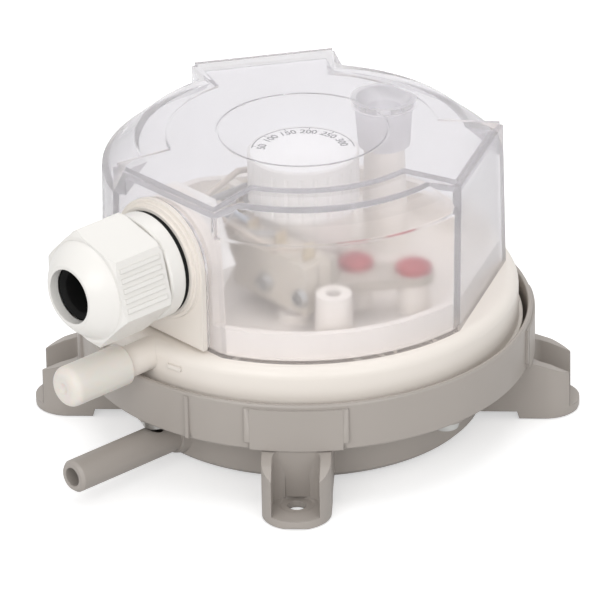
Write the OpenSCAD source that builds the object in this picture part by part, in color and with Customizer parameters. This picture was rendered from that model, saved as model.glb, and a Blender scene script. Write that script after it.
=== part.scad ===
// Differential pressure switch for air and gases.
// Z is up, the base plane is z = 0, the axis of the diaphragm is the Z axis.
// The cable gland and both hose ports point along -Y.

/* [Base moulding] */
// outer diameter of the grey ring at its rim
ring_d = 85; // [83:0.5:87]
// height of the ring's rim above the base plane
rim_z = 20.9; // [20.4:0.1:21]
// outer diameter of the drum below the ring
drum_d = 65.8; // [64:0.2:67]
// wall of the ring at its foot
ring_wall = 1.1; // [1:0.1:1.4]
// wall thickness of the grey moulding
base_wall = 2.2; // [1.8:0.1:2.6]
// height of the underside of the ring
shelf_z = 11.4; // [11:0.1:11.6]

/* [Fixing ears] */
// distance across the axis between opposite ear holes
ear_pcd = 88; // [87:0.5:90]
// diameter of the hole in each ear
ear_hole_d = 3.5; // [3:0.1:4.2]
// width of an ear over its side walls
ear_w = 12.8; // [12.4:0.2:13.4]
// thickness of an ear's floor
ear_floor = 1.6; // [1.2:0.1:2.4]
// radius of the ears' outer ends from the axis
ear_end_r = 51.2; // [50.8:0.2:52.4]

/* [Hose ports] */
// outer diameter of the hose ports
port_d = 6; // [5:0.1:6.2]
// bore of the hose ports
port_bore = 3.6; // [2.5:0.1:4]
// height of the lower port's axis
low_port_z = 5.4; // [5:0.1:6.4]
// height of the upper port's axis
high_port_z = 24.1; // [24:0.1:24.4]
// distance of the ports' tips from the axis
port_reach = 58.4; // [54:0.2:62]
// outer diameter of the soft cap on the upper port
port_cap_d = 7.8; // [7:0.1:9]
// length of the soft cap
port_cap_len = 14; // [10:0.5:16]

/* [White moulding] */
// outer radius of the white wall inside the ring
body_r = 39.85; // [39.4:0.05:40]
// height of the ledge that carries the clear cap
ledge_z = 27; // [26.6:0.1:28]
// outer radius of the tower that holds the setting spring
tower_r = 9.2; // [8.8:0.1:9.3]
// height of the tower's top
tower_z = 44; // [42.5:0.1:44.2]

/* [Clear cap] */
// outer radius of the clear cap at its foot
cap_foot_r = 37.8; // [37.4:0.1:38.4]
// outer radius of the clear cap where the shoulder starts
cap_r = 37.3; // [36.8:0.1:37.6]
// distance of the three flats from the axis
cap_flat = 34.6; // [34.2:0.1:35]
// wall thickness of the clear cap
cap_wall = 2; // [1.6:0.1:2.2]
// height of the raised top face
cap_top_z = 56.6; // [56:0.1:60]
// height of the step round the raised top face
cap_step = 0.9; // [0.4:0.1:1.2]
// radius of the raised top face between the flats
cap_raised_r = 25.4; // [22:0.1:28]
// radius of the top edge of the sloped shoulder
shoulder_r = 31.2; // [30:0.1:32.5]
// height at which the sloped shoulder starts
shoulder_z = 50.6; // [48:0.1:51]
// half width of the three lobes at the flats
lobe_half = 13.8; // [13.6:0.1:14.2]

/* [Setting knob] */
// outer diameter of the setting knob
knob_d = 20.8; // [20.4:0.2:24]
// height of the knob's face
knob_z = 50.9; // [49.5:0.1:52]
// diameter of the spindle
spindle_d = 6; // [5:0.2:7]
// height of the underside of the spring seat at the lowest setting
seat_z = 36; // [34:0.1:36.4]
// mean diameter of the setting spring
spring_d = 10.2; // [9.6:0.1:10.6]
// wire thickness of the setting spring
spring_wire = 0.9; // [0.6:0.1:1.1]
// number of turns of the setting spring
spring_turns = 6; // [4:1:7]

/* [Micro switch] */
// length of the micro switch
switch_l = 19.8; // [18:0.1:20]
// thickness of the micro switch
switch_w = 6.4; // [5.8:0.1:6.4]
// height of the micro switch's case
switch_h = 9.5; // [8:0.1:11]
// height of the underside of the micro switch
switch_z = 30.5; // [30.3:0.1:31]

/* [Cable gland] */
// height of the gland's axis
gland_z = 42.1; // [41.5:0.1:42.5]
// diameter of the gland's thread in the wall
gland_thread_d = 16; // [15:0.1:16]
// width across the flats of the gland's nut
nut_flats = 19.6; // [19.4:0.1:20.4]
// radius of the arched wall that carries the gland
arch_r = 11.8; // [11.6:0.1:12.2]
// y of the front face of the arched wall
arch_y = -36; // [-36.2:0.1:-35.9]

/* [Clearances] */
// gap between parts that slide past each other freely
free_gap = 0.4; // [0.3:0.05:0.5]
// radial running clearance of shafts and pins
run_gap = 0.05; // [0.02:0.01:0.1]

/* [Hidden] */
$fn = 64;
ring_r = ring_d / 2;
drum_r = drum_d / 2;
arch_wall = -arch_y - cap_flat - free_gap;
flange_y = -cap_flat + cap_wall + free_gap;
boss_r = body_r - 1.85;
cap_to = port_reach + 1.5;
cap_from = cap_to - port_cap_len;
shelf_top = shelf_z + 2.2;
drum_floor = 1.05;
boss_h = 0.6;
bead_in = drum_r + 0.5;
bead_out = bead_in + 2.2;
roll_r = drum_r - base_wall - 2.2;
roof_under = ledge_z - 2.6;
cap_in_foot = cap_foot_r - cap_wall;
cap_in = cap_r - cap_wall;
strip_z = cap_top_z - cap_step;
plate_z = shelf_top + 1;
hub_z = plate_z + 2.4;
sw_x = 8.4;
sw_y = -13.4;
btn_x = 12.2;
bar_z = switch_z - 0.7;
screw_y = 20.5;
post_z = 45.2;
lobes = [-90, 30, 150];
screws_at = [0, 90, 180, 270];
term_y = [-8.4, 0, 8.4];
term_x = -20;
wall_d = -arch_y;
nut_back = arch_y - 6.3;
nut_front = arch_y - 17.8;
nut_end = arch_y - 21.8;

// shared shapes

// lies an axis along -Y, with z running outward from the device
module outward(x, z) {
  translate([x, 0, z]) rotate([90, 0, 0]) children();
}

// a ring or disc section: from radius a to radius b, from height z0 to z1
module band(a, b, z0, z1) {
  translate([0, 0, z0]) difference() {
    cylinder(r = b, h = z1 - z0);
    if (a > 0) translate([0, 0, -1]) cylinder(r = a, h = z1 - z0 + 2);
  }
}

// circle of radius r with three flats at distance d
module flatted(r, d) {
  difference() {
    circle(r = r);
    for (a = lobes) rotate(a) translate([d, -r]) square([r, 2 * r]);
  }
}

// three lobes that reach out to the flats
module lobe_plan(half, d) {
  for (a = lobes) rotate(a) translate([0, -half]) square([d, 2 * half]);
}

// pan head screw pointing down, the underside of its head at z = 0
module pan_screw(head_r, head_h, shank_r, len) {
  difference() {
    union() {
      cylinder(r1 = head_r, r2 = head_r * 0.82, h = head_h);
      translate([0, 0, -len + shank_r]) cylinder(r = shank_r, h = len - shank_r + 0.1);
      translate([0, 0, -len]) cylinder(r1 = 0.3, r2 = shank_r, h = shank_r);
    }
    for (a = [0, 90]) rotate(a) translate([-head_r * 0.6, -0.35, head_h * 0.45])
      cube([head_r * 1.2, 0.7, head_h]);
  }
}

// grey base moulding

// plan of an ear with its round outer end
module ear_plan() {
  translate([drum_r - 1.4, -ear_w / 2]) square([ear_end_r - ear_w / 2 - drum_r + 1.4, ear_w]);
  translate([ear_end_r - ear_w / 2, 0]) circle(d = ear_w);
}

module ear() {
  inner = ear_w / 2 - 2;
  difference() {
    intersection() {
      linear_extrude(shelf_z + 0.1) ear_plan();
      // side view: the walls slope down to the outer end and the floor runs on past them
      translate([0, 10, 0]) rotate([90, 0, 0]) linear_extrude(20) polygon([[drum_r - 1.4, drum_floor + 0.4],
        [ring_r - 2.9, drum_floor + 0.4], [ring_r - 2.5, 0], [ear_end_r - 0.4, 0], [ear_end_r + 0.1, 0.5],
        [ear_end_r + 0.1, ear_floor], [ear_end_r - 1.3, ear_floor], [ear_end_r - 1.3, shelf_z - 3.2],
        [ear_end_r - 1.9, shelf_z - 2.6], [ear_end_r - 5.2, shelf_z - 1.1], [ring_r - 0.1, shelf_z + 0.1],
        [drum_r - 1.4, shelf_z + 0.1]]);
    }
    // channel with rounded inner corners
    difference() {
      translate([ring_r - 4.5, -inner, ear_floor]) cube([20, 2 * inner, 20]);
      cylinder(r1 = ring_r - 1.3, r2 = ring_r - 0.2, h = shelf_z + 0.1);
      for (s = [-1, 1]) difference() {
        translate([ring_r - 2.5, s > 0 ? inner - 2.2 : -inner, 0]) cube([4, 2.2, shelf_z + 0.2]);
        translate([ring_r + 1.5, s * (inner - 2.2), -1]) cylinder(r = 2.2, h = 20);
      }
    }
    // pocket under the ring, open below
    translate([drum_r + 0.5, -inner, -1]) cube([ring_r - drum_r - 4.2, 2 * inner, shelf_z + 0.6]);
    // screw hole in its shallow seat
    translate([ear_pcd / 2, 0, -1]) cylinder(d = ear_hole_d, h = 5);
    translate([ear_pcd / 2, 0, ear_floor - 0.3]) cylinder(d1 = 6, d2 = 6.8, h = 0.31);
  }
}

module ring_panel() {
  rotate(-13) rotate_extrude(angle = 26) translate([ring_r - 0.6, shelf_z + 1.6]) square([0.95, 7]);
  rotate(-11.6) rotate_extrude(angle = 23.2) translate([ring_r - 0.6, shelf_z + 0.3]) square([1, 8.3]);
}

module lower_housing() {
  color([0.6, 0.58, 0.56]) difference() {
    union() {
      rotate_extrude() polygon([[0, drum_floor], [drum_r - 0.7, drum_floor], [drum_r, drum_floor + 0.7],
        [drum_r, shelf_z], [ring_r - 0.6, shelf_z], [ring_r - 0.3, shelf_z + 0.3], [ring_r, rim_z - 0.4],
        [ring_r - 0.2, rim_z], [ring_r - 0.8, rim_z], [ring_r - ring_wall + 0.15, rim_z - 0.2],
        [ring_r - ring_wall, shelf_top], [drum_r - base_wall, shelf_top],
        [drum_r - base_wall, drum_floor + base_wall], [0, drum_floor + base_wall]]);
      for (a = [45, 135, 225, 315]) rotate(a) {
        ear();
        ring_panel();
      }
      // narrow upright ridge on the ring
      rotate(-73.4) translate([ring_r - 0.6, -0.4, shelf_z + 0.3]) cube([0.9, 0.8, rim_z - shelf_z - 0.9]);
      // lower hose port with its root collar
      outward(0, low_port_z) {
        translate([0, 0, drum_r - 1.6]) cylinder(d = port_d + 0.2, h = port_reach - drum_r + 1);
        translate([0, 0, port_reach - 0.6]) cylinder(d1 = port_d + 0.2, d2 = port_d - 0.8, h = 0.6);
        translate([0, 0, drum_r - 1.6]) cylinder(d1 = port_d + 3, d2 = port_d + 1, h = 3);
      }
      // stop ring and cross ribs on the drum's floor
      band(11.4, 12.8, drum_floor + 1, shelf_top + 0.3);
      for (a = [0, 60, 120]) rotate(a) difference() {
        translate([-drum_r + 2, -0.7, drum_floor + 1]) cube([2 * drum_r - 4, 1.4, 3.4]);
        translate([-11.5, -2, 0]) cube([23, 4, 12]);
      }
      // foot bosses round the housing screws
      for (a = screws_at) rotate(a) translate([boss_r, 0, shelf_z - boss_h]) cylinder(r = 3.4, h = 1.5);
    }
    outward(0, low_port_z) translate([0, 0, drum_r - 6]) cylinder(d = port_bore, h = port_reach);
    for (a = screws_at) rotate(a) translate([boss_r, 0, 5]) cylinder(r = 1.7, h = 20);
  }
}

// white upper moulding

module arch(r, y0, y1, bottom) {
  translate([0, y1, 0]) rotate([90, 0, 0]) linear_extrude(y1 - y0) union() {
    translate([0, gland_z]) circle(r = r);
    translate([-r, bottom]) square([2 * r, gland_z - bottom]);
  }
}

module upper_shell() {
  rotate_extrude() difference() {
    union() {
      square([body_r, ledge_z - 2.2]);
      square([body_r - 2.2, ledge_z]);
      translate([body_r - 2.2, ledge_z - 2.2]) circle(r = 2.2);
      square([body_r + 0.75, 18.7]);
    }
    square([60, shelf_top]);
    square([bead_out + 0.1, shelf_top + 1]);
    square([body_r - 2.6, roof_under]);
    translate([0, 0]) square([tower_r - 2.3, 60]);
  }
}

module upper_housing() {
  color([0.93, 0.91, 0.87]) difference() {
    union() {
      upper_shell();
      // bead seat inside the flange
      band(bead_in - 0.4, body_r - 1, shelf_top + 1, shelf_top + 3);
      // rim inside the clear cap
      translate([0, 0, ledge_z - 0.5]) linear_extrude(5.3) difference() {
        flatted(cap_in - 0.3, cap_flat - cap_wall - free_gap);
        flatted(cap_in - 1.9, cap_flat - cap_wall - free_gap - 1.6);
      }
      // arched wall with its groove for the clear cap
      arch(arch_r, arch_y, arch_y + arch_wall, ledge_z + 0.5);
      arch(arch_r - 1.5, arch_y + arch_wall - 0.1, flange_y + 0.2, ledge_z - 0.5);
      arch(arch_r - 0.6, flange_y, flange_y + 2.2, ledge_z - 0.5);
      outward(0, gland_z) translate([0, 0, wall_d - 0.1]) cylinder(r = 11.2, h = 0.8);
      outward(0, gland_z) translate([0, 0, wall_d - 0.1]) cylinder(r = 10.5, h = 1.5);
      // tower of the setting spring with four gussets
      band(tower_r - 2.3, tower_r, roof_under, tower_z);
      band(spindle_d / 2 + run_gap, tower_r, tower_z - 2, tower_z);
      for (a = [75, 165, 205, 255]) rotate(a) translate([tower_r - 0.4, -0.7, ledge_z - 0.5])
        rotate([90, 0, 0]) translate([0, 0, -1.4]) linear_extrude(1.4)
          polygon([[0, 0], [4.4, 0], [0.2, 9], [0, 9]]);
      // post of the cap's screw
      translate([0, screw_y, ledge_z - 0.5]) cylinder(r1 = 4.4, r2 = 3.8, h = post_z - ledge_z + 0.5);
      // bosses of the switch carrier
      translate([15.5, -1.5, ledge_z - 0.5]) cylinder(r = 3, h = 6.5);
      translate([24.5, 4.6, ledge_z - 0.5]) cylinder(r = 3, h = 6.5);
      // spare boss beside the switch
      translate([23, -13.9, ledge_z - 0.5]) cylinder(r1 = 3.6, r2 = 3.3, h = 9.6);
      // guide of the push rod
      translate([btn_x, sw_y, roof_under - 2]) cylinder(r = 3.2, h = 28.9 - roof_under + 2);
      // seat rails of the terminal block
      for (s = [-1, 1]) translate([term_x - 5, s * 13.4 - 0.8, ledge_z - 0.5]) cube([11, 1.6, 4.5]);
      // upper hose port and its root
      outward(0, high_port_z) {
        translate([0, 0, body_r - 2.4]) cylinder(d = port_d, h = port_reach - 0.5 - body_r + 1.8);
        translate([0, 0, port_reach - 1.1]) cylinder(d1 = port_d, d2 = port_d - 1, h = 0.6);
      }
      intersection() {
        outward(0, high_port_z) translate([0, 0, body_r - 2.4])
          cylinder(d1 = port_d + 1.6, d2 = port_d, h = 3.4);
        translate([-10, -60, 21.1]) cube([20, 40, 5.9]);
      }
      // raised sign beside the low pressure port
      rotate(-79.4) translate([body_r - 0.6, -1.5, 23.4]) cube([1, 3, 0.9]);
      // bosses over the housing screws
      for (a = screws_at) rotate(a) translate([boss_r - 1.4, 0, shelf_top + 2]) cylinder(r = 2.8, h = 6);
    }
    outward(0, gland_z) translate([0, 0, wall_d - 16]) cylinder(d = gland_thread_d + 0.2, h = 25);
    outward(0, high_port_z) translate([0, 0, body_r - 5.85]) cylinder(d = port_bore, h = port_reach);
    translate([0, screw_y, 34]) cylinder(r = 1.5, h = 20);
    translate([15.5, -1.5, 28.5]) cylinder(r = 1.25, h = 10);
    translate([24.5, 4.6, 28.5]) cylinder(r = 1.25, h = 10);
    translate([23, -13.9, 30]) cylinder(r = 1.4, h = 10);
    translate([btn_x, sw_y, 15]) cylinder(r = 1.5 + run_gap, h = 20);
    for (a = screws_at) rotate(a) translate([boss_r, 0, shelf_z]) cylinder(r = 1.25, h = 7);
    // two guide slots for the spring seat
    for (a = [0, 180]) rotate(a) translate([tower_r - 2.6, -1.3, roof_under + 1])
      cube([1.3, 2.6, tower_z - 3 - roof_under]);
    // vent holes in the roof beside the tower
    for (a = [100, 190, 230]) rotate(a) translate([17, 0, roof_under - 1]) cylinder(r = 0.8, h = 5);
  }
}

// clear cap

module cover_form(grow, z0, top, strip) {
  // grow is 0 for the outside and minus the wall for the inside
  bend_z = shoulder_z + grow * 0.4;
  intersection() {
    union() {
      translate([0, 0, z0]) cylinder(r1 = cap_foot_r + grow, r2 = cap_r + grow, h = bend_z - z0);
      translate([0, 0, bend_z - 0.001])
        cylinder(r1 = cap_r + grow, r2 = shoulder_r + grow * 0.45, h = strip - bend_z + 0.001);
      intersection() {
        translate([0, 0, z0 + 2]) cylinder(r = cap_r + grow, h = strip - z0 - 2);
        translate([0, 0, z0 + 2]) linear_extrude(strip - z0 - 2) lobe_plan(lobe_half + grow, cap_flat + grow);
      }
    }
    translate([0, 0, z0]) linear_extrude(top - z0) flatted(60, cap_flat + grow);
  }
}

module raised_plan(inset) {
  circle(r = cap_raised_r);
  for (a = lobes) rotate(a) polygon([[0, -10], [cap_raised_r - 2.8, -lobe_half + 2.8],
    [cap_flat - inset, -lobe_half + inset], [cap_flat - inset, lobe_half - inset],
    [cap_raised_r - 2.8, lobe_half - 2.8], [0, 10]]);
}

module clear_cover() {
  color([0.85, 0.85, 0.92, 0.35]) difference() {
    union() {
      difference() {
        union() {
          cover_form(0, ledge_z, cap_top_z, strip_z);
          translate([0, 0, strip_z - 0.5]) linear_extrude(cap_step + 0.5) raised_plan(0.5);
        }
        cover_form(-cap_wall, ledge_z - 0.01, strip_z - cap_wall, strip_z - cap_wall);
      }
      // tube of the screw recess
      translate([0, screw_y, post_z + 0.3]) cylinder(r1 = 4.9, r2 = 5.6, h = strip_z - post_z - 0.8);
    }
    translate([0, screw_y, post_z + 2.3]) cylinder(r = 3.4, h = 20);
    translate([0, screw_y, cap_top_z - 2.2]) cylinder(r1 = 3.4, r2 = 5.2, h = 2.21);
    translate([0, screw_y, post_z - 1]) cylinder(r = 1.7, h = 10);
    // arched slot round the neck of the cable entry
    arch(arch_r - 1.5 + free_gap, -cap_flat - 5, -cap_flat + 4.4, ledge_z - 1);
    // shallow round on the face above the knob
    translate([0, 0, cap_top_z - 0.15]) band(15.7, 16.1, 0, 1);
  }
}

module cover_screw() {
  color([0.75, 0.75, 0.76]) translate([0, screw_y, post_z + 2.35]) pan_screw(2.9, 2.2, 1.45, 12.5);
}

// knob, spindle, seat and spring

module setting_knob() {
  color([0.95, 0.94, 0.91]) difference() {
    union() {
      translate([0, 0, tower_z - 2]) cylinder(d = knob_d, h = knob_z - tower_z + 1.7);
      translate([0, 0, knob_z - 0.3]) cylinder(d1 = knob_d, d2 = knob_d - 0.6, h = 0.3);
    }
    translate([0, 0, tower_z - 3]) cylinder(r = tower_r + free_gap, h = 3.4);
    difference() {
      translate([0, 0, tower_z - 3]) cylinder(r = tower_r + free_gap, h = 6);
      translate([0, 0, tower_z - 5]) cylinder(r = 5, h = 12);
    }
    translate([0, 0, knob_z - 0.4]) cylinder(d = knob_d - 0.9, h = 1);
    translate([0, 0, tower_z - 3]) cylinder(d = spindle_d - 1, h = 6.5);
    for (i = [0 : 23]) rotate(i * 15) translate([knob_d / 2 + 0.25, 0, tower_z - 3])
      cylinder(r = 0.5, h = 8.4, $fn = 24);
  }
}

module scale_disc() {
  color([0.97, 0.97, 0.96]) translate([0, 0, knob_z - 0.4]) cylinder(d = knob_d - 0.95, h = 0.4);
}

module setting_spindle() {
  color([0.75, 0.76, 0.78]) union() {
    translate([0, 0, 29]) cylinder(d1 = spindle_d - 1.2, d2 = spindle_d, h = 0.6);
    translate([0, 0, 29.6]) cylinder(d = spindle_d, h = tower_z + 0.3 - 29.6);
    translate([0, 0, tower_z + 0.2]) cylinder(d = spindle_d - 1, h = 3.2);
  }
}

module spring_seat() {
  color([0.85, 0.72, 0.42]) difference() {
    union() {
      translate([0, 0, seat_z]) cylinder(r = tower_r - 2.3 - 0.3, h = 3);
      translate([0, 0, seat_z - 1.4]) cylinder(r = spring_d / 2 - spring_wire / 2 - 0.3, h = 1.5);
      for (a = [0, 180]) rotate(a) translate([4, -1, seat_z]) cube([tower_r - 1.6 - 4, 2, 3]);
    }
    translate([0, 0, seat_z - 3]) cylinder(r = spindle_d / 2 + run_gap, h = 8);
  }
}

// half a coil, tilted about Y so that one end lies lower than the other
module half_coil(z, tilt, turn) {
  translate([0, 0, z]) rotate([0, tilt, 0]) rotate(turn) rotate_extrude(angle = 180)
    translate([spring_d / 2 / cos(tilt), 0]) circle(r = spring_wire / 2, $fn = 24);
}

module setting_spring() {
  half = spring_wire / 2;
  rise = (seat_z - hub_z - spring_wire) / spring_turns / 2;
  tilt = atan(rise / spring_d);
  last = 2 * spring_turns;
  color([0.72, 0.73, 0.75]) translate([0, 0, hub_z + half]) {
    // closed ends lie flat on the plate and the seat
    half_coil(0, 0, 180);
    half_coil(last * rise, 0, 0);
    for (i = [0 : last - 1]) half_coil((i + 0.5) * rise, i % 2 == 0 ? tilt : -tilt, i % 2 == 0 ? 0 : 180);
    for (i = [0 : last]) translate([i % 2 == 0 ? spring_d / 2 : -spring_d / 2, 0, i * rise])
      sphere(r = half + 0.04, $fn = 24);
  }
}

// diaphragm and its plate

module diaphragm() {
  color([0.12, 0.12, 0.13]) rotate_extrude() union() {
    translate([bead_in, shelf_top]) square([bead_out - bead_in, 1]);
    translate([roll_r + 1.6, shelf_top + 0.3]) square([bead_in - roll_r - 1.5, 0.5]);
    translate([0, shelf_top + 0.3]) square([roll_r - 1.7, 0.5]);
    intersection() {
      difference() {
        translate([roll_r, shelf_top + 0.8]) circle(r = 2.05);
        translate([roll_r, shelf_top + 0.8]) circle(r = 1.55);
      }
      translate([roll_r - 2.5, shelf_top - 4]) square([6, 4.8]);
    }
  }
}

module diaphragm_plate() {
  color([0.8, 0.81, 0.83]) difference() {
    union() {
      band(0, roll_r - 2.7, shelf_top + 0.8, shelf_top + 1.8);
      band(roll_r - 3.7, roll_r - 2.7, shelf_top + 0.8, shelf_top + 2.6);
      band(0, 6.4, shelf_top + 1.7, hub_z);
      band(5.9, 6.4, shelf_top + 1.7, hub_z + 0.8);
      translate([btn_x, sw_y, shelf_top + 1.7]) cylinder(r = 2.6, h = 2.2);
    }
    for (a = [0 : 60 : 300]) rotate(a + 15) translate([11, 0, shelf_top + 1.3]) cylinder(r = 2.6, h = 2);
    translate([btn_x, sw_y, shelf_top + 1.4]) cylinder(r = 1.5, h = 5);
  }
}

module push_rod() {
  color([0.9, 0.9, 0.88]) union() {
    translate([btn_x, sw_y, shelf_top + 1.4]) cylinder(r = 1.5, h = bar_z - 0.05 - shelf_top - 1.4 - 0.6);
    translate([btn_x, sw_y, bar_z - 0.65]) cylinder(r1 = 1.5, r2 = 0.9, h = 0.6);
  }
}

// micro switch on its carrier

module switch_carrier() {
  color([0.9, 0.87, 0.8]) difference() {
    union() {
      translate([0, 0, 33]) linear_extrude(2) union() {
        translate([15.5, -1.5]) circle(r = 3.6);
        translate([24.5, 4.6]) circle(r = 3.6);
        polygon([[13, -4], [19, -9.6], [26.6, 1.6], [22.4, 7.6]]);
        polygon([[12, -9.6], [19, -9.6], [19, -1.4], [12, -1.4]]);
      }
      translate([6, sw_y + switch_w / 2, switch_z]) cube([12.6, 1.6, switch_h]);
      translate([12.6, -9, 33]) cube([1.4, 3.6, 4]);
    }
    translate([15.5, -1.5, 30]) cylinder(r = 1.5, h = 10);
    translate([24.5, 4.6, 30]) cylinder(r = 1.5, h = 10);
    for (x = [7.7, 17.2]) translate([x, -5, switch_z + 3.4]) rotate([90, 0, 0]) cylinder(r = 0.8, h = 10);
  }
}

module carrier_screws() {
  color([0.78, 0.76, 0.7]) {
    translate([15.5, -1.5, 35]) pan_screw(2.4, 1.4, 1.2, 6);
    translate([24.5, 4.6, 35]) pan_screw(2.4, 1.4, 1.2, 6);
  }
}

module seal_lacquer() {
  color([0.78, 0.06, 0.08]) for (p = [[15.5, -1.5], [24.5, 4.6]]) translate([p[0], p[1], 35]) difference() {
    intersection() {
      translate([0, 0, -3.2]) sphere(r = 5.4);
      translate([-4, -4, 0]) cube([8, 8, 4]);
      cylinder(r = 3.3, h = 4);
    }
    translate([0, 0, -1]) cylinder(r1 = 2.5, r2 = 2.35, h = 2.5);
  }
}

module switch_body() {
  color([0.62, 0.55, 0.43]) difference() {
    union() {
      translate([sw_x - switch_l / 2, sw_y - switch_w / 2, switch_z]) cube([switch_l, switch_w, switch_h]);
      translate([sw_x - switch_l / 2 + 1, sw_y - switch_w / 2 - 0.01, switch_z + switch_h - 0.6])
        cube([switch_l - 2, switch_w, 1]);
    }
    translate([sw_x - switch_l / 2 - 1, sw_y - 0.15, switch_z + 1.2]) cube([1.25, 0.3, switch_h]);
    translate([sw_x + switch_l / 2 - 0.25, sw_y - 0.15, switch_z + 1.2]) cube([1.25, 0.3, switch_h]);
    for (x = [7.7, 17.2]) translate([x, -5, switch_z + 3.4]) rotate([90, 0, 0]) cylinder(r = 1.05, h = 20);
    translate([btn_x, sw_y, switch_z - 1]) cylinder(r = 1.2 + run_gap, h = 3.6);
    for (x = [0.9, 8.4, 15.9]) translate([x - 0.3, sw_y - 1.4, switch_z + switch_h - 2]) cube([0.6, 2.8, 4]);
  }
}

module switch_button() {
  color([0.85, 0.3, 0.2]) translate([btn_x, sw_y, bar_z]) cylinder(r = 1.2, h = 2.2);
}

module switch_screws() {
  color([0.78, 0.79, 0.8]) for (x = [7.7, 17.2])
    translate([x, sw_y - switch_w / 2, switch_z + 3.4]) rotate([90, 0, 0]) pan_screw(1.9, 1.1, 0.75, 8.2);
}

// terminals, clamp screws and leads

module terminal_block() {
  color([0.88, 0.86, 0.8]) translate([term_x - 5, -12.4, ledge_z]) difference() {
    cube([10, 24.8, 7.6]);
    for (y = [0 : 2]) translate([-1, 0.9 + y * 8.4, 4]) cube([9.6, 6.2, 8]);
    for (y = [0 : 2]) translate([5, 4 + y * 8.4, 1]) cylinder(r = 1.5, h = 8);
  }
}

module terminal(y) {
  color([0.86, 0.72, 0.4]) difference() {
    union() {
      translate([term_x - 4.4, y - 2.6, ledge_z + 4]) cube([7.7, 5.2, 1]);
      translate([term_x - 4.4, y - 2.6, ledge_z + 4]) cube([0.9, 5.2, 3]);
      translate([term_x + 2.6, y - 1.4, ledge_z + 4]) cube([0.7, 2.8, 5.6]);
    }
    translate([term_x, y, ledge_z + 3]) cylinder(r = 1.35, h = 4);
  }
}

module terminal_screws() {
  color([0.8, 0.8, 0.78]) for (y = term_y) translate([term_x, y, ledge_z + 6.2]) {
    pan_screw(2.4, 1.6, 1.3, 4.9);
    translate([-2.3, -2.3, -1.19]) cube([4.5, 4.6, 1.2]);
  }
}

// wire through a list of points, with round joints
module wire(points) {
  for (i = [0 : len(points) - 2]) {
    d = points[i + 1] - points[i];
    translate(points[i]) rotate([0, acos(d[2] / norm(d)), atan2(d[1], d[0])])
      cylinder(r = 0.6, h = norm(d), $fn = 24);
    translate(points[i]) sphere(r = 0.66, $fn = 24);
  }
  translate(points[len(points) - 1]) sphere(r = 0.66, $fn = 24);
}

module switch_tabs() {
  color([0.86, 0.72, 0.4]) for (x = [0.9, 8.4, 15.9])
    translate([x - 0.25, sw_y - 1.3, switch_z + switch_h - 1.9]) cube([0.5, 2.6, 5]);
}

module terminal_common() {
  terminal(term_y[0]);
}

module terminal_closed() {
  terminal(term_y[1]);
}

module terminal_open() {
  terminal(term_y[2]);
}

module lead_common() {
  color([0.15, 0.3, 0.6]) wire([[-0.05, sw_y, 42.2], [-5, -12.6, 42], [-11, -11.2, 38.5],
    [term_x + 4, term_y[0], 35.6]]);
}

module lead_closed() {
  color([0.1, 0.1, 0.1]) wire([[7.45, sw_y, 42.2], [3, -17.6, 42.6], [-9, -16.5, 42.6], [-13, -3, 40],
    [term_x + 4, term_y[1], 35.6]]);
}

module lead_open() {
  color([0.55, 0.3, 0.15]) wire([[14.95, sw_y, 42.2], [12, -18.6, 42.6], [-7, -19.4, 44.6], [-11.5, -6, 44.6],
    [-14.5, 6, 41], [term_x + 4, term_y[2], 35.6]]);
}

// cable gland

module gland_body() {
  color([0.94, 0.94, 0.93]) outward(0, gland_z) difference() {
    union() {
      translate([0, 0, wall_d - 10.8]) cylinder(d = gland_thread_d - 0.2, h = 14);
      translate([0, 0, wall_d + 2.4]) cylinder(r = 10.1, h = 2.9);
      translate([0, 0, wall_d + 5.3]) cylinder(r1 = 10.1, r2 = 9.7, h = 0.4);
      translate([0, 0, wall_d + 5.2]) cylinder(r = 8.5, h = 9.8);
      translate([0, 0, wall_d + 14.9]) cylinder(r = 6.95, h = 3.1);
    }
    translate([0, 0, wall_d - 16]) cylinder(r = 5.6, h = 40);
    translate([0, 0, wall_d + 6.5]) cylinder(r = 6.3, h = 20);
    for (i = [0 : 3]) rotate(i * 45) translate([-10, -0.5, wall_d + 13]) cube([20, 1, 10]);
  }
}

module gland_nut() {
  color([0.96, 0.96, 0.95]) outward(0, gland_z) difference() {
    union() {
      intersection() {
        rotate(-15) translate([0, 0, -nut_back])
          cylinder(d = nut_flats / cos(30), h = nut_back - nut_front, $fn = 6);
        union() {
          translate([0, 0, -nut_back]) cylinder(r1 = 10.7, r2 = 11.4, h = 0.7);
          translate([0, 0, -nut_back + 0.7]) cylinder(r = 11.4, h = nut_back - nut_front - 1.4);
          translate([0, 0, -nut_front - 0.7]) cylinder(r1 = 11.4, r2 = 10.1, h = 0.7);
        }
      }
      // grip ribs along three of the flats
      for (k = [0, 1, 2]) rotate(15 + k * 120) for (i = [-2 : 2])
        translate([nut_flats / 2 - 0.3, i * 1.9 - 0.45, -nut_back + 1])
          cube([0.55, 0.9, nut_back - nut_front - 2]);
      // domed end
      intersection() {
        translate([0, 0, -nut_front - 5]) sphere(r = 10.7);
        translate([0, 0, -nut_front - 0.1]) cylinder(r = 9.5, h = nut_front - nut_end + 0.1);
      }
    }
    translate([0, 0, wall_d]) cylinder(r = 8.5 + run_gap, h = 16);
    translate([0, 0, wall_d + 15.99]) cylinder(r1 = 8.5 + run_gap, r2 = 6.4, h = 3.9);
    translate([0, 0, wall_d + 14]) cylinder(r = 5.2, h = 20);
  }
}

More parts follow.
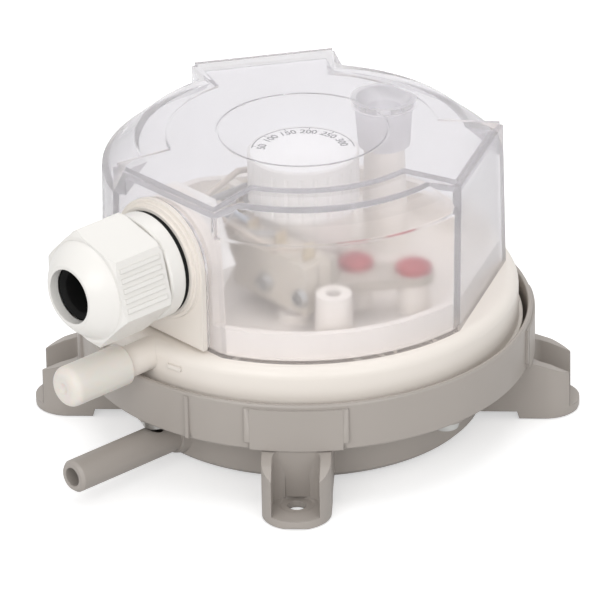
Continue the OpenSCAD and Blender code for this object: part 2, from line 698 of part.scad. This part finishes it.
module gland_seal() {
  color([0.08, 0.08, 0.08]) outward(0, gland_z) difference() {
    union() {
      translate([0, 0, wall_d + 7.5]) cylinder(r = 6, h = 11.3);
      translate([0, 0, wall_d + 18.8]) cylinder(r1 = 6, r2 = 5, h = 1);
    }
    translate([0, 0, wall_d + 4]) cylinder(r = 4, h = 20);
    translate([0, 0, wall_d + 19]) cylinder(r1 = 4, r2 = 4.7, h = 0.81);
  }
}

module gland_washer() {
  color([0.2, 0.2, 0.2]) outward(0, gland_z) band(8.1, 9.9, wall_d + 1.4, wall_d + 2.4);
}

module gland_locknut() {
  color([0.94, 0.94, 0.93]) outward(0, gland_z) difference() {
    translate([0, 0, wall_d - 9.3]) cylinder(d = 19 / cos(30), h = 3.3, $fn = 6);
    translate([0, 0, wall_d - 16]) cylinder(d = gland_thread_d - 0.1, h = 20);
  }
}

// soft cap and screws from below

module port_cap() {
  color([0.9, 0.9, 0.9]) outward(0, high_port_z) difference() {
    rotate_extrude() difference() {
      union() {
        translate([0, cap_from]) square([port_cap_d / 2, cap_to - cap_from - 1.8]);
        translate([0, cap_to - 2]) square([port_cap_d / 2 - 1.8, 2]);
        translate([port_cap_d / 2 - 1.8, cap_to - 1.8]) circle(r = 1.8);
      }
      translate([0, cap_to + 1.2]) circle(r = 1.6);
      translate([-5, 0]) square([5, cap_to + 10]);
    }
    translate([0, 0, body_r]) cylinder(r = port_d / 2 + run_gap, h = port_reach - 0.4 - body_r);
  }
}

module housing_screws() {
  color([0.72, 0.72, 0.74]) for (a = screws_at)
    rotate(a) translate([boss_r, 0, shelf_z - boss_h]) rotate([180, 0, 0]) pan_screw(2.8, 1.8, 1.2, 6.6);
}

lower_housing();
upper_housing();
clear_cover();
cover_screw();
setting_knob();
scale_disc();
setting_spindle();
spring_seat();
setting_spring();
diaphragm();
diaphragm_plate();
push_rod();
switch_carrier();
carrier_screws();
seal_lacquer();
switch_body();
switch_button();
switch_screws();
switch_tabs();
terminal_block();
terminal_common();
terminal_closed();
terminal_open();
terminal_screws();
lead_common();
lead_closed();
lead_open();
gland_body();
gland_nut();
gland_seal();
gland_washer();
gland_locknut();
port_cap();
housing_screws();
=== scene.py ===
# %% [markdown]
# # A differential pressure switch, dressed for its portrait
#
# The solids come ready made in model.glb: a grey base with four slotted ears,
# a white upper moulding, a clear cap, a cable gland and two hose ports.
# This lesson gives each of them a finish, adds the print on the setting dial,
# and sets up the floor, the light and the camera.

import math

import bmesh
import bpy
from mathutils import Matrix, Vector


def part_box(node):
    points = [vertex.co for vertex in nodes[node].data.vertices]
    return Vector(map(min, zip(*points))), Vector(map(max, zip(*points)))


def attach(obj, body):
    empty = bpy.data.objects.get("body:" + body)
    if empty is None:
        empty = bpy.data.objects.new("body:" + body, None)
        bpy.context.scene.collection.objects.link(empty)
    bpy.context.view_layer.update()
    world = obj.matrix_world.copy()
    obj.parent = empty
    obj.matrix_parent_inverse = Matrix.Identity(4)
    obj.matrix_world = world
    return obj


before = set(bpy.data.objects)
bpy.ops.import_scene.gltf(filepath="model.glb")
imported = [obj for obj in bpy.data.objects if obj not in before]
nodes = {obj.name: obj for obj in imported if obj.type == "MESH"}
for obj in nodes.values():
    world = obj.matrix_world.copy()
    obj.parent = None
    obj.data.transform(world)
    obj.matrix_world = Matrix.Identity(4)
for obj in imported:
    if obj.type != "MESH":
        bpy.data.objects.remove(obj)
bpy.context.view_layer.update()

# %% [markdown]
# ## A small language for finishes
#
# A finish is a short sum: a noise, scaled, added to a colour or to a roughness.
# Writing it with nodes by hand takes many lines. So `Value` wraps a socket and
# lets plain + - * ** > and < build the Math nodes, and | joins two masks by
# taking the larger.


# %% Values that can be added and multiplied
class Value:
    def __init__(self, owner, socket):
        self.owner = owner
        self.socket = socket

    def _math(self, operation, *terms):
        node = self.owner.tree.nodes.new("ShaderNodeMath")
        node.operation = operation
        for place, term in zip(node.inputs, terms):
            self.owner.feed(place, term)
        return Value(self.owner, node.outputs[0])

    def __add__(self, other):
        return self._math("ADD", self, other)

    __radd__ = __add__

    def __sub__(self, other):
        return self._math("SUBTRACT", self, other)

    def __rsub__(self, other):
        return self._math("SUBTRACT", other, self)

    def __mul__(self, other):
        return self._math("MULTIPLY", self, other)

    __rmul__ = __mul__

    def __pow__(self, other):
        return self._math("POWER", self, other)

    def __gt__(self, other):
        return self._math("GREATER_THAN", self, other)

    def __lt__(self, other):
        return self._math("LESS_THAN", self, other)

    def __or__(self, other):
        return self._math("MAXIMUM", self, other)


# %% [markdown]
# A material and a world both hold a node tree. `Tree` empties one, gives it its
# output, and has a single method, `node`, that adds any node with its settings
# first and its sockets after. `Finish` is a material with a Principled shader.


# %% A tree of nodes
class Tree:
    def __init__(self, holder, output_kind):
        holder.use_nodes = True
        self.tree = holder.node_tree
        self.tree.nodes.clear()
        self.output = self.tree.nodes.new(output_kind)

    def feed(self, place, term):
        if isinstance(term, Value):
            self.tree.links.new(term.socket, place)
        else:
            place.default_value = term

    def node(self, kind, settings=None, inputs=None, out=0):
        made = self.tree.nodes.new(kind)
        for name, value in (settings or {}).items():
            setattr(made, name, value)
        for name, value in (inputs or {}).items():
            self.feed(made.inputs[name], value)
        return Value(self, made.outputs[out])

    def surface(self, shader):
        self.feed(self.output.inputs["Surface"], shader)

    def ray(self, kind):
        return self.node("ShaderNodeLightPath", out=kind)

    def blend(self, amount, first, second):
        return self.node("ShaderNodeMixShader", {}, {0: amount, 1: first, 2: second})


# %% One finish and its shader
class Finish(Tree):
    def __init__(self, name, **plain):
        self.material = bpy.data.materials.new(name)
        super().__init__(self.material, "ShaderNodeOutputMaterial")
        self.shader = self.tree.nodes.new("ShaderNodeBsdfPrincipled")
        self.surface(Value(self, self.shader.outputs[0]))
        self.paint(**plain)

    def paint(self, **parts):
        for socket, value in parts.items():
            self.feed(self.shader.inputs[socket.replace("_", " ")], value)

    def place(self):
        return self.node("ShaderNodeTexCoord", out="Object")

    def noise(self, scale, detail=2.0, roughness=0.5, at=None):
        inputs = {"Vector": at or self.place(), "Scale": scale, "Detail": detail, "Roughness": roughness}
        return self.node("ShaderNodeTexNoise", {}, inputs)

    def mix(self, amount, first, second):
        inputs = {"Factor": amount, 6: first, 7: second}
        return self.node("ShaderNodeMix", {"data_type": "RGBA"}, inputs, out=2)

    def rounded(self, edge):
        return self.node("ShaderNodeBevel", {"samples": 4}, {"Radius": edge})

    def relief(self, height, strength, distance, edge=0.0):
        inputs = {"Height": height, "Strength": strength, "Distance": distance}
        if edge:
            inputs["Normal"] = self.rounded(edge)
        self.paint(Normal=self.node("ShaderNodeBump", {}, inputs))


def rgb(r, g, b):
    return (r, g, b, 1.0)


# %% [markdown]
# ## Moulded plastics
#
# The base and the upper moulding come from a spark-eroded mould, so they have a
# very fine matt grain and a faint cloudiness of colour. A large soft noise tints
# the colour between two close shades, a fine one stirs the roughness and the
# relief, and a small bevel in the shader rounds the edges as a mould does.


# %% How a plastic is made
def moulded(name, colour, shade, roughness, grain=5200, depth=0.000012, edge=0.0003, **plain):
    f = Finish(name, **plain)
    cloud = f.noise(60, 3.0)
    fine = f.noise(grain, 2.0, 0.6)
    f.paint(
        Base_Color=f.mix(cloud * 1.6 - 0.3, rgb(*colour), rgb(*shade)),
        Roughness=fine * 0.10 + cloud * 0.06 + (roughness - 0.08),
    )
    f.relief(fine, 0.5, depth, edge)
    return f.material


# %% Housings, gland and dial
grey = moulded("grey_moulding", (0.405, 0.368, 0.336), (0.38, 0.345, 0.314), 0.42)
white = moulded("white_moulding", (0.84, 0.785, 0.725), (0.815, 0.76, 0.70), 0.36)
gland_white = moulded("gland_nylon", (0.85, 0.83, 0.795), (0.825, 0.805, 0.77), 0.3)
knob_white = moulded("knob_white", (0.86, 0.835, 0.80), (0.835, 0.81, 0.775), 0.3)
disc_white = moulded("scale_white", (0.92, 0.915, 0.90), (0.90, 0.895, 0.88), 0.45, grain=9000, edge=0.0)
ink = moulded("dial_ink", (0.01, 0.01, 0.012), (0.02, 0.02, 0.022), 0.6, edge=0.0)
print("housing, gland and dial finishes:", len((grey, white, gland_white, knob_white, disc_white, ink)))

# %% [markdown]
# The cap on the upper port is a soft, milky plastic: a little light goes into it
# and comes out again, which subsurface scattering gives. The gland's seal is
# black rubber, nearly without gloss, so that the hole in the nut stays dark.

# %% Soft cap and rubber
soft_cap = moulded(
    "soft_cap", (0.78, 0.735, 0.68), (0.755, 0.71, 0.655), 0.42, depth=0.000008, edge=0.0005,
    Subsurface_Weight=0.25, Subsurface_Scale=0.002,
)
rubber = moulded(
    "black_rubber", (0.006, 0.006, 0.006), (0.01, 0.01, 0.01), 0.7, grain=2600, depth=0.00003,
    Specular_IOR_Level=0.15,
)
print("soft finishes:", soft_cap.name, rubber.name)

# %% [markdown]
# Under the cap everything is seen through haze, so the switch, its carrier and
# the leads are pale. Only the lacquer that seals the set screws is a strong red,
# and its coarse grain stands for the uneven brush.

# %% Pieces under the cap
cream = moulded("carrier_cream", (0.72, 0.665, 0.585), (0.69, 0.635, 0.555), 0.4)
taupe = moulded("carrier_taupe", (0.47, 0.42, 0.36), (0.44, 0.39, 0.335), 0.4)
beige = moulded("switch_case", (0.62, 0.565, 0.485), (0.59, 0.535, 0.455), 0.4)
lacquer = moulded("red_lacquer", (0.45, 0.06, 0.065), (0.36, 0.045, 0.05), 0.3, grain=900, depth=0.00006)
button_red = moulded("button_red", (0.55, 0.1, 0.06), (0.5, 0.09, 0.05), 0.35)
rod_white = moulded("rod_white", (0.84, 0.84, 0.82), (0.8, 0.8, 0.78), 0.3)
pale_blue = moulded("lead_blue", (0.50, 0.54, 0.60), (0.47, 0.51, 0.57), 0.35)
pale_black = moulded("lead_black", (0.40, 0.39, 0.38), (0.37, 0.36, 0.35), 0.35)
pale_brown = moulded("lead_brown", (0.58, 0.50, 0.42), (0.55, 0.47, 0.39), 0.35)
print("lead finishes:", pale_blue.name, pale_black.name, pale_brown.name)

# %% [markdown]
# ## Metals
#
# The screws are zinc plated steel and the terminals stamped brass. A noise that
# is stretched by its Mapping gives the faint drawn lines of stamping and turning.


# %% Metals
def metal(name, colour, shade, roughness):
    f = Finish(name, Metallic=1.0)
    drawn = f.node("ShaderNodeMapping", {}, {"Vector": f.place(), "Scale": (300.0, 300.0, 3000.0)})
    lines = f.noise(1.0, 3.0, 0.6, drawn)
    cloud = f.noise(400, 2.0)
    f.paint(
        Base_Color=f.mix(cloud, rgb(*colour), rgb(*shade)),
        Roughness=lines * 0.2 + (roughness - 0.1),
    )
    f.relief(lines, 0.3, 0.00001, 0.0001)
    return f.material


zinc = metal("zinc_steel", (0.62, 0.62, 0.6), (0.56, 0.56, 0.55), 0.34)
spring_steel = metal("spring_steel", (0.5, 0.5, 0.52), (0.42, 0.42, 0.44), 0.3)
brass = metal("stamped_brass", (0.80, 0.72, 0.56), (0.76, 0.68, 0.52), 0.36)
plate_metal = metal("pressed_plate", (0.66, 0.67, 0.68), (0.6, 0.61, 0.62), 0.4)
print("metals:", len((zinc, spring_steel, brass, plate_metal)))

# %% [markdown]
# ## The clear cap
#
# The cap is polycarbonate. It bends light, carries a faint violet cast that
# gathers along its edges, and is a little milky all over. A refracting shader
# gives the lines of the edges, and a bevel in the shader softens them. A mix of
# Diffuse and Translucent is the haze, and it grows where the wall is seen
# edge on. The flat top is polished, the walls are slightly rough, and the post
# of the cover screw is frosted. Light Path lets the lamps' light through,
# because a refracting wall would otherwise leave the inside dark.

# %% Where the cap is polished and where it is frosted
cap_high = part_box("clear_cover")[1]
polished_above = cap_high.z - 0.0035
screw_low, screw_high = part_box("cover_screw")
post_axis = (screw_low + screw_high) / 2
post_r = 0.0062
print("polished above mm", round(polished_above * 1000, 1), "post at mm", round(post_axis.y * 1000, 1))


# %% Clear plastic
def clear_plastic(name):
    f = Finish(name, Transmission_Weight=1.0, IOR=1.3, Coat_Weight=0.25, Coat_Roughness=0.03)
    edge_on = f.node("ShaderNodeLayerWeight", {}, {"Blend": 0.35}, out="Facing") ** 2.0
    cloud = f.noise(70, 2.0)
    top = f.node("ShaderNodeSeparateXYZ", {}, {"Vector": f.place()}, out="Z") > polished_above
    axis = (post_axis.x, post_axis.y, 0)
    offset = f.node("ShaderNodeVectorMath", {"operation": "SUBTRACT"}, {0: f.place(), 1: axis})
    level = f.node("ShaderNodeVectorMath", {"operation": "MULTIPLY"}, {0: offset, 1: (1, 1, 0)})
    post = f.node("ShaderNodeVectorMath", {"operation": "LENGTH"}, {0: level}, out="Value") < post_r
    f.paint(
        Base_Color=f.mix(edge_on, rgb(0.975, 0.97, 0.985), rgb(0.925, 0.91, 0.965)),
        Roughness=(1 - top) * 0.18 + post * 0.3 + cloud * 0.04,
        Normal=f.rounded(0.0005),
    )
    milk = {"Color": rgb(0.81, 0.795, 0.82)}
    lit_front = f.node("ShaderNodeBsdfDiffuse", {}, milk)
    lit_behind = f.node("ShaderNodeBsdfTranslucent", {}, milk)
    haze = f.blend(0.4, lit_front, lit_behind)
    haze_share = edge_on * 0.26 + cloud * 0.03 + post * 0.4 + top * 0.05 + 0.11
    hazy = f.blend(haze_share, Value(f, f.shader.outputs[0]), haze)
    lit_through = f.node("ShaderNodeBsdfTransparent", {}, {"Color": rgb(0.995, 0.995, 1.0)})
    f.surface(f.blend(f.ray("Is Shadow Ray"), hazy, lit_through))
    return f.material


clear = clear_plastic("clear_polycarbonate")
print("clear finish:", clear.name)

# %% [markdown]
# ## Dressing the solids
#
# The shapes of the solids are right as they come, so each keeps its mesh and
# only takes its finish in place of the plain one.

# %% Dress the solids
finishes = {
    "lower_housing": grey, "upper_housing": white, "clear_cover": clear, "cover_screw": zinc,
    "setting_knob": knob_white, "scale_disc": disc_white, "setting_spindle": zinc, "spring_seat": brass,
    "setting_spring": spring_steel, "diaphragm": rubber, "diaphragm_plate": plate_metal,
    "push_rod": rod_white, "switch_carrier": taupe, "carrier_screws": zinc, "seal_lacquer": lacquer,
    "switch_body": beige, "switch_button": button_red, "switch_screws": zinc, "switch_tabs": brass,
    "terminal_block": cream, "terminal_common": brass, "terminal_closed": brass, "terminal_open": brass,
    "terminal_screws": zinc, "lead_common": pale_blue, "lead_closed": pale_black, "lead_open": pale_brown,
    "gland_body": gland_white, "gland_nut": gland_white, "gland_seal": rubber, "gland_washer": rubber,
    "gland_locknut": gland_white, "port_cap": soft_cap, "housing_screws": zinc,
}
for name, node in nodes.items():
    node.data.materials.clear()
    node.data.materials.append(finishes[name])
print("dressed", len(finishes), "nodes")

# %% [markdown]
# ## The print on the dial
#
# The scale is printed on the white disc: an arc, ticks and small plain numbers.
# Each mark is a flat face, or for the numbers a thin solid, a few hundredths of
# a millimetre proud of the disc. All of them ride on the knob and turn with it.

# %% Measure the disc
disc_low, disc_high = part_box("scale_disc")
disc_r = (disc_high.x - disc_low.x) / 2
print_z = disc_high.z + 0.00002
dial_turn = math.radians(47.9)
print("dial radius mm", round(disc_r * 1000, 2))


# %% From a bmesh to a finished mark
def printed(marks, name):
    mesh = bpy.data.meshes.new(name)
    bmesh.ops.recalc_face_normals(marks, faces=marks.faces)
    marks.to_mesh(mesh)
    marks.free()
    mesh.materials.append(ink)
    piece = bpy.data.objects.new(name, mesh)
    bpy.context.collection.objects.link(piece)
    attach(piece, "knob")
    print(name, "faces:", len(mesh.polygons))


def about_dial(angle, size=3):
    return Matrix.Rotation(angle, size, "Z")


# %% [markdown]
# The arc starts as one short edge across the line, and spin sweeps it round the
# disc. That keeps its width even, which a row of separate pieces would not.

# %% The arc
arc_r = disc_r - 0.00035
arc_width = 0.00022
arc_start = math.radians(84)
arc_sweep = math.radians(-168)
arc_steps = 56
centre = (0, 0, 0)

arc = bmesh.new()
across = [arc.verts.new((0, arc_r + side, print_z)) for side in (-arc_width / 2, arc_width / 2)]
first_edge = arc.edges.new(across)
bmesh.ops.rotate(arc, verts=across, cent=centre, matrix=about_dial(arc_start))
bmesh.ops.spin(
    arc, geom=across + [first_edge], cent=centre, axis=(0, 0, 1), angle=arc_sweep, steps=arc_steps
)
bmesh.ops.rotate(arc, verts=arc.verts, cent=centre, matrix=about_dial(dial_turn))
printed(arc, "dial_arc")

# %% [markdown]
# Each tick is a grid of one face, scaled to a bar and turned to its place. The
# numbers are text, made a mesh at once so that the turn goes into the mesh and
# the finished piece stays at the origin.

# %% Ticks
scale_marks = {"50": 79, "100": 50, "150": 21, "200": -8, "250": -38, "300": -68}
tick_width = 0.0002
tick_length = 0.0007
tick_r = disc_r - 0.0007

ticks = bmesh.new()
for degrees in scale_marks.values():
    tick = bmesh.ops.create_grid(ticks, x_segments=1, y_segments=1, size=0.5)["verts"]
    bmesh.ops.scale(ticks, verts=tick, vec=(tick_width, tick_length, 1))
    bmesh.ops.translate(ticks, verts=tick, vec=(0, tick_r, print_z))
    bmesh.ops.rotate(ticks, verts=tick, cent=centre, matrix=about_dial(math.radians(degrees) + dial_turn))
printed(ticks, "dial_ticks")

# %% Numbers
number_size = 0.0022
number_r = disc_r - 0.0022
number_weight = 0.00004
number_thickness = 0.00001


def number_mesh(text, turn):
    curve = bpy.data.curves.new("number", "FONT")
    curve.body = text
    curve.size = number_size
    curve.align_x = "CENTER"
    curve.align_y = "CENTER"
    curve.extrude = number_thickness
    curve.offset = number_weight
    helper = bpy.data.objects.new("number", curve)
    bpy.context.collection.objects.link(helper)
    bpy.context.view_layer.update()
    evaluated = helper.evaluated_get(bpy.context.evaluated_depsgraph_get())
    mesh = bpy.data.meshes.new_from_object(evaluated)
    bpy.data.objects.remove(helper)
    mesh.transform(about_dial(turn, 4) @ Matrix.Translation((0, number_r, print_z)))
    return mesh


numbers = bmesh.new()
for text, degrees in scale_marks.items():
    mesh = number_mesh(text, math.radians(degrees) + dial_turn)
    numbers.from_mesh(mesh)
    bpy.data.meshes.remove(mesh)
printed(numbers, "dial_numbers")

# %% [markdown]
# ## Floor and world
#
# The picture is a catalogue shot: a white ground, light from all round, and
# hardly a shadow. The floor is pale and diffuse, with a little glow that only
# the camera, reflections and refractions see, so that it reads as white and
# still keeps a soft shadow. A ray that has already bounced off a dull surface
# sees no glow, so none of it lights the switch.

# %% The floor
floor_half = 3.0
floor_drop = 0.0002
camera_glow = 0.5
mirror_glow = 0.2

floor_mesh = bpy.data.meshes.new("floor")
plane = bmesh.new()
bmesh.ops.create_grid(plane, x_segments=1, y_segments=1, size=floor_half)
plane.to_mesh(floor_mesh)
plane.free()
floor = bpy.data.objects.new("floor", floor_mesh)
floor.location.z = -floor_drop
bpy.context.collection.objects.link(floor)

pale = bpy.data.materials.new("pale_floor")
ground = Tree(pale, "ShaderNodeOutputMaterial")
mirrored = ground.ray("Is Glossy Ray") + ground.ray("Is Transmission Ray")
seen = ground.ray("Is Camera Ray") * camera_glow + mirrored * mirror_glow
seen = seen * (ground.ray("Diffuse Depth") < 0.5)
glow = ground.node("ShaderNodeEmission", {}, {"Color": rgb(1, 1, 1), "Strength": seen})
matt = ground.node("ShaderNodeBsdfDiffuse", {}, {"Color": rgb(0.75, 0.75, 0.75)})
ground.surface(ground.node("ShaderNodeAddShader", {}, {0: glow, 1: matt}))
floor_mesh.materials.append(pale)
print("floor m across:", 2 * floor_half)

# %% [markdown]
# The world does three jobs. It lights the switch softly, it is pure white to the
# camera and in reflections, and it is dimmer and faintly violet where it is seen
# through the cap, as the real backdrop is.

# %% The world
world = bpy.data.worlds.new("studio")
bpy.context.scene.world = world
sky = Tree(world, "ShaderNodeOutputWorld")


def backdrop(colour, strength):
    return sky.node("ShaderNodeBackground", {}, {"Color": colour, "Strength": strength})


undimmed = sky.ray("Diffuse Depth") < 0.5
straight = (sky.ray("Is Camera Ray") | sky.ray("Is Glossy Ray")) * undimmed
refracted = sky.ray("Is Transmission Ray") * undimmed
outside = sky.blend(straight, backdrop(rgb(1, 1, 1), 0.6), backdrop(rgb(1, 1, 1), 1.0))
sky.surface(sky.blend(refracted, outside, backdrop(rgb(0.98, 0.965, 1), 0.46)))
print("world nodes:", len(world.node_tree.nodes))

# %% [markdown]
# ## Lamps
#
# Three large square lamps stand for the light boxes of a small studio. The key
# comes from the front, the side lamp lightens the right, and the one overhead
# reaches the floor of the switch through the cap. Large lamps keep the shadows
# soft, and their power is low enough that the white plastic doesn't clip.


# %% Lamps
def lamp(name, at, size, power):
    data = bpy.data.lights.new(name, "AREA")
    data.shape = "SQUARE"
    data.size = size
    data.energy = power
    thing = bpy.data.objects.new(name, data)
    bpy.context.collection.objects.link(thing)
    thing.location = at
    thing.rotation_euler = (lamp_aim - Vector(at)).to_track_quat("-Z", "Y").to_euler()
    print(name, "lamp W", power)


lamp_aim = Vector((0, 0, 0.03))
lamp("key", (0.35, -0.80, 0.45), size=0.55, power=2.8)
lamp("side", (0.9, -0.25, 0.40), size=0.5, power=1.6)
lamp("top", (-0.1, 0.10, 0.9), size=0.7, power=2.6)

# %% [markdown]
# ## Camera
#
# The view was found by fitting the round forms and the ports to the picture: a
# turn of 48 degrees, 26 degrees down, from about 1.4 m with a long lens. The
# fit gave the lens in pixels of a picture 600 wide, and the sensor's width
# turns that into millimetres.

# %% Where the camera looks from
azimuth = math.radians(47.941)
elevation = math.radians(26.444)
roll = math.radians(-1.0086)
target = Vector((-0.000694, -0.000783, 0.021386))
distance = 1.40713

level_back = Vector((math.sin(azimuth), -math.cos(azimuth), 0)) * math.cos(elevation)
back = level_back + Vector((0, 0, math.sin(elevation)))
level_right = Vector((0, 0, 1)).cross(back).normalized()
level_up = back.cross(level_right)
right = math.cos(roll) * level_right + math.sin(roll) * level_up
up = -math.sin(roll) * level_right + math.cos(roll) * level_up
print("camera at mm", [round(v * 1000) for v in target + back * distance])

# %% The camera
sensor_mm = 36.0
lens_pixels = 7522.69
picture_pixels = 600

data = bpy.data.cameras.new("camera")
data.sensor_width = sensor_mm
data.lens = lens_pixels * sensor_mm / picture_pixels
data.clip_start = 0.05
camera = bpy.data.objects.new("camera", data)
bpy.context.collection.objects.link(camera)
turned = Matrix((right, up, back)).transposed().to_4x4()
camera.matrix_world = Matrix.Translation(target + back * distance) @ turned
bpy.context.scene.camera = camera
bpy.context.scene.view_settings.view_transform = "Standard"
print("lens mm", round(data.lens, 1))
